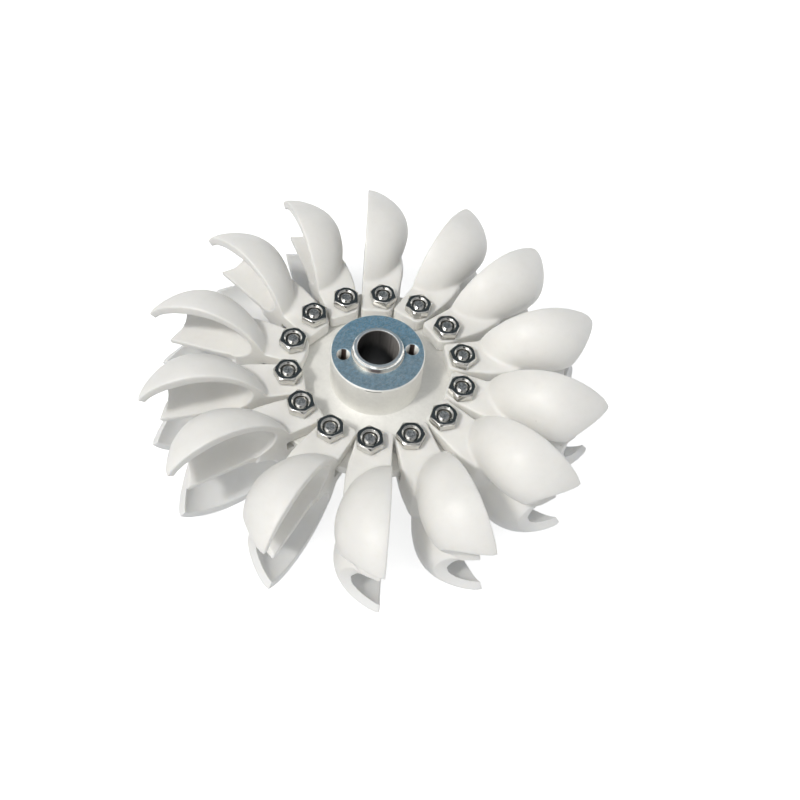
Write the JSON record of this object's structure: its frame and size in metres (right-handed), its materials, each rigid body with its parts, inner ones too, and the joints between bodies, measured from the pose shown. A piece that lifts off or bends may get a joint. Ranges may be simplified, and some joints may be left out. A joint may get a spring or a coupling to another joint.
{
  "type": "pelton wheel",
  "caption": "Small Pelton turbine runner: moulded white twin-cup buckets bolted by their forked stems round the disc of a turned metal hub with a shaft bore.",
  "frame": {"origin": "the wheel's centre: on its axis, halfway through the hub and the buckets", "axes": "+Z along the wheel's axis towards the nuts; +Y through the bolt of bucket_01; the cups open anticlockwise seen from +Z"},
  "size_m": [0.1818, 0.1819, 0.0546],
  "materials": {
    "white_nylon": "satin moulded white nylon",
    "turned_metal": "fine turned, bright",
    "polished_steel": "polished stainless"
  },
  "bodies": {
    "root": {"hub": "turned_metal", "bucket_01": "white_nylon", "bucket_02": "white_nylon", "bucket_03": "white_nylon", "bucket_04": "white_nylon", "bucket_05": "white_nylon", "bucket_06": "white_nylon", "bucket_07": "white_nylon", "bucket_08": "white_nylon", "bucket_09": "white_nylon", "bucket_10": "white_nylon", "bucket_11": "white_nylon", "bucket_12": "white_nylon", "bucket_13": "white_nylon", "bucket_14": "white_nylon", "nut_01": "polished_steel", "nut_02": "polished_steel", "nut_03": "polished_steel", "nut_04": "polished_steel", "nut_05": "polished_steel", "nut_06": "polished_steel", "nut_07": "polished_steel", "nut_08": "polished_steel", "nut_09": "polished_steel", "nut_10": "polished_steel", "nut_11": "polished_steel", "nut_12": "polished_steel", "nut_13": "polished_steel", "nut_14": "polished_steel", "bolt_01": "polished_steel", "bolt_02": "polished_steel", "bolt_03": "polished_steel", "bolt_04": "polished_steel", "bolt_05": "polished_steel", "bolt_06": "polished_steel", "bolt_07": "polished_steel", "bolt_08": "polished_steel", "bolt_09": "polished_steel", "bolt_10": "polished_steel", "bolt_11": "polished_steel", "bolt_12": "polished_steel", "bolt_13": "polished_steel", "bolt_14": "polished_steel"}
  },
  "joints": []
}
